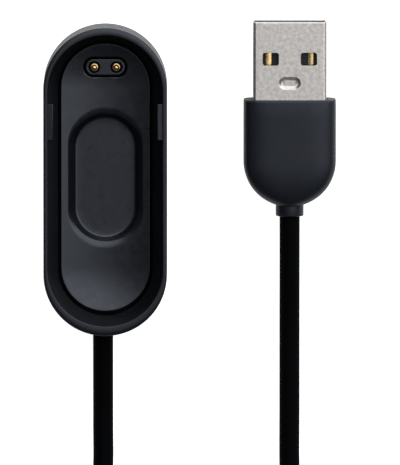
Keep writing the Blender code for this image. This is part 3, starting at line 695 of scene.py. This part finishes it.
def make_grommet(material):
    centre = (DOCK_CORD_X, DOCK_CORD_Z)
    bore, neck, collar = 1.68 * MM, 2.1 * MM, 2.33 * MM
    front, step, back = GROMMET_LOW.y, -24.15 * MM, GROMMET_HIGH.y
    soft = 0.15 * MM
    profile = [(bore, back), (bore, front + soft), (bore + soft, front), (neck - soft, front),
               (neck, front + soft), (neck, step), (collar, step), (collar, back)]
    rings = []
    for radius, y in profile:
        turn = list(arc(radius, 0, 360, ROUND_SIDES))[:-1]
        rings.append([(centre[0] + across, y, centre[1] + up) for across, up in turn])
    grommet = loft("outlet_grommet", rings, material, closed=True)
    stands_for(grommet, ["cord_grommet"])


# ---------------------------------------------------------------- cord

def cord_route():
    """Out of the dock, down onto the surface, back in a loose bend and up into the plug."""
    laid = CORD_LAID_Z
    return [
        (DOCK_CORD_X, -23.6 * MM, DOCK_CORD_Z),
        (DOCK_CORD_X, -26.5 * MM, DOCK_CORD_Z),
        (DOCK_CORD_X, -31.0 * MM, 2.6 * MM),
        (DOCK_CORD_X, -36.0 * MM, 1.9 * MM),
        (DOCK_CORD_X, -41.0 * MM, laid),
        (DOCK_CORD_X, -47.0 * MM, laid),
        (-0.9 * MM, -53.0 * MM, laid),
        (-0.9 * MM, -59.5 * MM, laid),
        (1.0 * MM, -65.5 * MM, laid),
        (5.2 * MM, -71.0 * MM, laid),
        (11.2 * MM, -74.2 * MM, laid),
        (18.0 * MM, -74.5 * MM, laid),
        (24.3 * MM, -71.4 * MM, laid),
        (28.6 * MM, -66.0 * MM, laid),
        (30.4 * MM, -59.5 * MM, laid),
        (30.3 * MM, -53.0 * MM, laid),
        (PLUG_X, -47.0 * MM, laid),
        (PLUG_X, -38.0 * MM, laid),
        (PLUG_X, -30.0 * MM, laid),
        (PLUG_X, -23.0 * MM, 1.9 * MM),
        (PLUG_X, -16.0 * MM, 3.0 * MM),
        (PLUG_X, -10.0 * MM, 3.85 * MM),
        (PLUG_X, -6.0 * MM, PLUG_Z),
        (PLUG_X, -3.5 * MM, PLUG_Z),
    ]


def smooth_route(points, steps):
    """Points along a smooth curve through the given points."""
    knots = [Vector(point) for point in points]
    knots = [2 * knots[0] - knots[1]] + knots + [2 * knots[-1] - knots[-2]]
    route = []
    for a, b, c, d in zip(knots, knots[1:], knots[2:], knots[3:]):
        for i in range(steps):
            t = i / steps
            route.append(0.5 * (2 * b + (c - a) * t + (2 * a - 5 * b + 4 * c - d) * t ** 2
                                + (3 * b - a - 3 * c + d) * t ** 3))
    route.append(knots[-2])
    return route


def make_cord(material):
    curve = bpy.data.curves.new("charging_cord", "CURVE")
    curve.dimensions = "3D"
    curve.bevel_depth = CORD_DIAMETER / 2
    curve.bevel_resolution = 14
    curve.use_fill_caps = True
    points = smooth_route(cord_route(), 6)
    spline = curve.splines.new("POLY")
    spline.points.add(len(points) - 1)
    for spline_point, point in zip(spline.points, points):
        spline_point.co = (*point, 1)
    spline.use_smooth = True
    curve.materials.append(material)
    cord = bpy.data.objects.new("charging_cord", curve)
    bpy.context.scene.collection.objects.link(cord)
    return stands_for(cord, ["cord"])


# ---------------------------------------------------------------- plug

RING_STEPS = 128               # points round the grip's sections


def ring_directions():
    """The angles of the points in the grip's rings, none of them on an axis."""
    return [2 * math.pi * (i + 0.5) / RING_STEPS for i in range(RING_STEPS)]


def superellipse_ring(half_x, half_z, squareness, y):
    """Points round an ellipse, which squareness above 2 swells towards a rectangle."""
    ring = []
    for angle in ring_directions():
        across = math.copysign(abs(math.cos(angle)) ** (2 / squareness), math.cos(angle))
        up = math.copysign(abs(math.sin(angle)) ** (2 / squareness), math.sin(angle))
        ring.append((PLUG_X + half_x * across, y, PLUG_Z + half_z * up))
    return ring


def grip_section(y, inset=0.0):
    """The grip at y: a soft-cornered oblong in front that narrows in a round arc to the collar."""
    past = min(max((GRIP_ROUND_Y - y) / (GRIP_ROUND_Y - COLLAR_FRONT_Y), 0), 1)
    half_x = max(GRIP_HALF_WIDTH * math.sqrt(1 - (GRIP_ARC * past) ** 2), COLLAR_RADIUS) - 0.35 * inset
    half_z = COLLAR_RADIUS + (PLUG_Z - COLLAR_RADIUS) * math.sqrt(1 - past ** 2.5) - inset
    squareness = 2 + 2.2 * (1 - past ** 3)
    return superellipse_ring(half_x, half_z, squareness, y)


def oblong_ring(half_x, half_z, corner, y):
    """A rounded rectangle with a point for each direction of the grip's rings."""
    ring = []
    for angle in ring_directions():
        turn = Vector((math.cos(angle) / half_x, math.sin(angle) / half_z))
        edge = turn / max(abs(turn.x), abs(turn.y))
        x, z = edge.x * half_x, edge.y * half_z
        flat_x, flat_z = half_x - corner, half_z - corner
        if abs(x) > flat_x and abs(z) > flat_z:
            away = Vector((abs(x) - flat_x, abs(z) - flat_z))
            away = away.normalized() * corner
            x = math.copysign(flat_x + away.x, x)
            z = math.copysign(flat_z + away.y, z)
        ring.append((PLUG_X + x, y, PLUG_Z + z))
    return ring


def make_grip(material):
    """Moulded grip: soft front edge, barrel-shaped faces, half-round back, collar and cord hole."""
    front_edge = 0.35 * MM
    rings = []
    for across, up in arc(front_edge, 90, 0, 6):
        rings.append(grip_section(GRIP_FRONT_Y - front_edge + up, front_edge - across))
    rings += [grip_section(GRIP_FRONT_Y - 3 * MM), grip_section(GRIP_ROUND_Y)]
    round_steps = 26
    for i in range(1, round_steps):
        share = math.sin(math.radians(90 * i / round_steps))
        rings.append(grip_section(GRIP_ROUND_Y + (COLLAR_FRONT_Y - GRIP_ROUND_Y) * share))
    collar = COLLAR_RADIUS
    soft = 0.2 * MM
    rings.append(superellipse_ring(collar, collar, 2, COLLAR_FRONT_Y - 0.02 * MM))
    for across, up in arc(soft, 0, 90, 4):
        rings.append(superellipse_ring(collar - soft + across, collar - soft + across, 2,
                                       COLLAR_BACK_Y + soft - up))
    bore = CORD_DIAMETER / 2 + 0.03 * MM
    pocket_back = -1.0 * MM
    rings.append(superellipse_ring(bore, bore, 2, COLLAR_BACK_Y))
    rings.append(superellipse_ring(bore, bore, 2, pocket_back))
    pocket = (SHELL_HALF[0] + FIT_GAP, SHELL_HALF[1] + FIT_GAP)
    flare = 0.12 * MM
    rings.append(oblong_ring(*pocket, SHELL_CORNER, pocket_back))
    rings.append(oblong_ring(*pocket, SHELL_CORNER, GRIP_FRONT_Y - flare))
    rings.append(oblong_ring(pocket[0] + flare, pocket[1] + flare, SHELL_CORNER, GRIP_FRONT_Y))
    grip = loft("plug_grip", rings, material, closed=True, sharp=40)
    stands_for(grip, ["plug_overmould"])


def box_ring(half_x, half_z, corner, y):
    """Points round a rounded rectangle across the plug, evenly spaced round its corners."""
    ring = []
    for quarter, (sign_x, sign_z) in enumerate(((1, 1), (-1, 1), (-1, -1), (1, -1))):
        for across, up in arc(corner, 90 * quarter, 90 * quarter + 90, 10):
            ring.append((PLUG_X + sign_x * (half_x - corner) + across, y,
                         PLUG_Z + sign_z * (half_z - corner) + up))
    return ring


def flat_window(x, y, half_x, half_y, corner, z):
    """Points round a level rounded rectangle."""
    ring = []
    for quarter, (sign_x, sign_y) in enumerate(((1, 1), (-1, 1), (-1, -1), (1, -1))):
        for across, up in arc(corner, 90 * quarter, 90 * quarter + 90, 8):
            ring.append((x + sign_x * (half_x - corner) + across, y + sign_y * (half_y - corner) + up, z))
    return ring


LATCH_X = 3.1 * MM
LATCH_Y = SHELL_TIP_Y - 6.07 * MM
LATCH_HALF = (1.315 * MM, 1.05 * MM)
LATCH_CORNER = 0.4 * MM
DIMPLE_Y = SHELL_TIP_Y - 10.0 * MM
DIMPLE_HALF = (1.78 * MM, 1.0 * MM)
DIMPLE_CORNER = 0.95 * MM


def make_shell(material):
    """Folded sheet shell: rounded corners, burred window edges, pressed dimple and a bottom seam."""
    rings = []
    lead = 0.2 * MM
    half_x, half_z = SHELL_HALF
    rings.append(box_ring(half_x, half_z, SHELL_CORNER, SHELL_BACK_Y))
    for across, up in arc(lead, 0, 90, 5):
        inset = lead - across
        rings.append(box_ring(half_x - inset, half_z - inset, SHELL_CORNER - inset, SHELL_TIP_Y - lead + up))
    for y in (SHELL_TIP_Y, SHELL_BACK_Y):
        rings.append(box_ring(half_x - SHELL_SHEET, half_z - SHELL_SHEET, SHELL_CORNER - SHELL_SHEET, y))
    shell = loft("plug_shell_sheet", rings, material, closed=True)
    above = 8 * MM
    tools = []
    for side in (-1, 1):
        outline = (PLUG_X + side * LATCH_X, LATCH_Y, *LATCH_HALF, LATCH_CORNER)
        tools.append(loft("latch_window", [flat_window(*outline, 0), flat_window(*outline, above)], None))
    outline = (PLUG_X, DIMPLE_Y, *DIMPLE_HALF, DIMPLE_CORNER)
    tools.append(loft("dimple_window", [flat_window(*outline, PLUG_Z), flat_window(*outline, above)], None))
    seam = 0.03 * MM
    tools.append(block("seam", (PLUG_X - seam, SHELL_BACK_Y - 1 * MM, 0),
                       (PLUG_X + seam, SHELL_TIP_Y + 1 * MM, SHELL_LOW.z + 0.12 * MM)))
    cut_and_bevel(shell, tools, bevel=0.07 * MM, segments=3)
    stands_for(shell, ["plug_shell"])


def make_dimple(material):
    """The shell's pressed-in oblong: sloping walls, a flat floor and a small struck mark."""
    top = SHELL_HIGH.z - 0.03 * MM
    floor_z = top - 0.32 * MM
    base_z = floor_z - 0.2 * MM
    rings = [flat_window(PLUG_X, DIMPLE_Y, DIMPLE_HALF[0] + 0.3 * MM, DIMPLE_HALF[1] + 0.3 * MM, 1.1 * MM, z)
             for z in (base_z, SHELL_HIGH.z - SHELL_SHEET + 0.01 * MM)]
    slope = ((0.0, top), (0.15, top - 0.02 * MM), (0.5, top - 0.16 * MM),
             (0.85, floor_z + 0.02 * MM), (1.0, floor_z))
    for share, z in slope:
        inset = 0.5 * MM * share - 0.02 * MM
        rings.append(flat_window(PLUG_X, DIMPLE_Y, DIMPLE_HALF[0] - inset, DIMPLE_HALF[1] - inset * 0.9,
                                 DIMPLE_CORNER - inset * 0.85, z))
    dimple = loft("shell_dimple", rings, material, sharp=18)
    cut_and_bevel(dimple, make_mark_cutters(floor_z), sharp=18)
    stands_for(dimple, [])


def make_mark_cutters(floor_z):
    """Four thin blocks that strike the outline of a small rectangle into the dimple's floor."""
    half_x, half_y = 0.74 * MM, 0.4 * MM
    half_line = 0.065 * MM
    low_z, high_z = floor_z - 0.15 * MM, floor_z + 0.05 * MM
    lines = [((-half_x, side * half_y), (half_x, side * half_y)) for side in (-1, 1)]
    lines += [((side * half_x, -half_y), (side * half_x, half_y)) for side in (-1, 1)]
    cutters = []
    for (from_x, from_y), (to_x, to_y) in lines:
        low = (PLUG_X + from_x - half_line, DIMPLE_Y + from_y - half_line, low_z)
        high = (PLUG_X + to_x + half_line, DIMPLE_Y + to_y + half_line, high_z)
        cutters.append(block("mark_line", low, high))
    return cutters


def make_tongue(material, contacts):
    """Insulator: block at the back, tongue with a bevelled tip, and a slot under each contact."""
    half_x = (TONGUE_HIGH.x - TONGUE_LOW.x) / 2
    bottom, top = TONGUE_LOW.z, TONGUE_HIGH.z
    back, tip = TONGUE_LOW.y, TONGUE_HIGH.y
    block_front = 13.2 * MM
    side = [(back, bottom), (tip, bottom), (tip, TONGUE_TOP_Z - 0.3 * MM), (tip - 0.3 * MM, TONGUE_TOP_Z),
            (block_front, TONGUE_TOP_Z), (block_front, top), (back, top)]
    edge = 0.45 * MM
    rings = []
    for x, inset in ((-half_x, edge), (-half_x + edge, 0), (half_x - edge, 0), (half_x, edge)):
        rings.append([(PLUG_X + x, y, min(max(z, bottom + inset), top - inset)) for y, z in side])
    tongue = loft("plug_tongue", rings, material)
    tools = []
    for low, high in contacts:
        tools.append(block("slot", (low.x - FIT_GAP, back - 1 * MM, low.z - FIT_GAP),
                           (high.x + FIT_GAP, high.y + 0.1 * MM, TONGUE_TOP_Z + 0.15 * MM)))
    cut_and_bevel(tongue, tools, bevel=0.04 * MM, segments=1)
    stands_for(tongue, ["plug_insulator"])


def make_contact_blade(number, low, high, material):
    """Spring-gold blade: crowned across, with a tip that dips into the tongue."""
    half = (high.x - low.x) / 2
    centre_x = (high.x + low.x) / 2
    crown = 0.06 * MM
    dip = 0.8 * MM
    stations = [(low.y, 0), (high.y - dip, 0)]
    for i in range(1, 6):
        share = i / 5
        stations.append((high.y - dip + dip * share, 0.09 * MM * share ** 2))
    across_steps = 12
    rings = []
    for y, drop in stations:
        ring = [(centre_x - half, y, low.z), (centre_x + half, y, low.z)]
        for i in range(across_steps + 1):
            share = 1 - 2 * i / across_steps
            ring.append((centre_x + half * share, y, high.z - crown * share ** 2 - drop))
        rings.append(ring)
    blade = loft(f"contact_blade_{number}", rings, material, sharp=50)
    stands_for(blade, [f"plug_contact_{number}"])


def dress_hidden_nodes(materials):
    """CAD nodes whose shape is right keep it and get the finished material."""
    looks = {
        "circuit_board": "board", "dock_power_wire": "red", "dock_ground_wire": "black",
        "plug_power_wire": "red", "plug_ground_wire": "black", "plug_inner_mould": "natural",
    }
    for node, look in looks.items():
        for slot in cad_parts[node].material_slots:
            slot.material = materials[look]


# ---------------------------------------------------------------- floor and light

def make_floor():
    """A large pale sheet just under the object, which the camera sees overexposed to white."""
    mesh = bpy.data.meshes.new("floor")
    half = 1.5
    below = -0.05 * MM
    corners = [(-half, -half, below), (half, -half, below), (half, half, below), (-half, half, below)]
    mesh.from_pydata(corners, [], [(0, 1, 2, 3)])
    material, nodes, links, shader, vector = new_material("floor_look")
    shade = add_noise(nodes, links, vector, 0.01)
    paper = add_ramp(nodes, links, shade, (0.80, 0.80, 0.80), (0.82, 0.82, 0.82))
    links.new(paper, shader.inputs["Base Color"])
    shader.inputs["Roughness"].default_value = 0.9
    shader.inputs["Specular IOR Level"].default_value = 0.1
    shader.inputs["Emission Color"].default_value = (1, 1, 1, 1)
    glow_for_camera, glow_for_all = 0.75, 0.18
    path = nodes.new("ShaderNodeLightPath")
    glow = nodes.new("ShaderNodeMath")
    glow.operation = "MULTIPLY_ADD"
    glow.inputs[1].default_value = glow_for_camera
    glow.inputs[2].default_value = glow_for_all
    links.new(path.outputs["Is Camera Ray"], glow.inputs[0])
    links.new(glow.outputs[0], shader.inputs["Emission Strength"])
    mesh.materials.append(material)
    floor = bpy.data.objects.new("floor", mesh)
    bpy.context.scene.collection.objects.link(floor)


def make_light(name, azimuth, off_zenith, distance, diameter, radiance):
    """A round softbox that faces the middle of the view from a direction; angles in degrees."""
    light = bpy.data.lights.new(name, "AREA")
    light.shape = "DISK"
    light.size = diameter
    light.energy = radiance * math.pi * math.pi * (diameter / 2) ** 2
    around, down = math.radians(azimuth), math.radians(off_zenith)
    towards = Vector((math.sin(down) * math.cos(around), math.sin(down) * math.sin(around), math.cos(down)))
    obj = bpy.data.objects.new(name, light)
    obj.location = VIEW_CENTRE + distance * towards
    obj.rotation_euler = towards.to_track_quat("Z", "Y").to_euler()
    bpy.context.scene.collection.objects.link(obj)


def make_world():
    world = bpy.data.worlds.new("studio")
    world.use_nodes = True
    background = world.node_tree.nodes["Background"]
    background.inputs["Color"].default_value = (0.93, 0.96, 1.0, 1)
    background.inputs["Strength"].default_value = 0.095
    bpy.context.scene.world = world


def make_studio():
    bpy.context.scene.view_settings.view_transform = "Standard"
    make_world()
    make_floor()
    make_light("key_soft", azimuth=61, off_zenith=45.5, distance=1.1, diameter=2.2, radiance=2.2)


# ---------------------------------------------------------------- the object

def main():
    make_camera()
    materials = make_materials()
    pin_xs = [middle(*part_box(f"{name}_pin_barrel")).x for name in ("left", "right")]
    contacts = [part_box(f"plug_contact_{number}") for number in range(1, 5)]

    cord = make_cord(materials["cord"])
    make_case(materials["case"])
    make_snap_rib(-1, "left_snap_rib", materials["case"])
    make_snap_rib(1, "right_snap_rib", materials["case"])
    make_base_cover(materials["case"])
    make_tray(materials["tray"])
    make_pin_holder(materials["tray"], pin_xs)
    make_contact("left", materials)
    make_contact("right", materials)
    make_grommet(materials["rubber"])

    make_grip(materials["grip"])
    make_shell(materials["steel"])
    make_dimple(materials["steel"])
    make_tongue(materials["insulator"], contacts)
    for number, (low, high) in enumerate(contacts, start=1):
        make_contact_blade(number, low, high, materials["gold"])
    dress_hidden_nodes(materials)

    plug_pieces = ["plug_grip", "plug_shell_sheet", "shell_dimple", "plug_tongue", "plug_inner_mould",
                   "plug_power_wire", "plug_ground_wire"]
    plug_pieces += [f"contact_blade_{number}" for number in range(1, 5)]
    make_studio()


main()
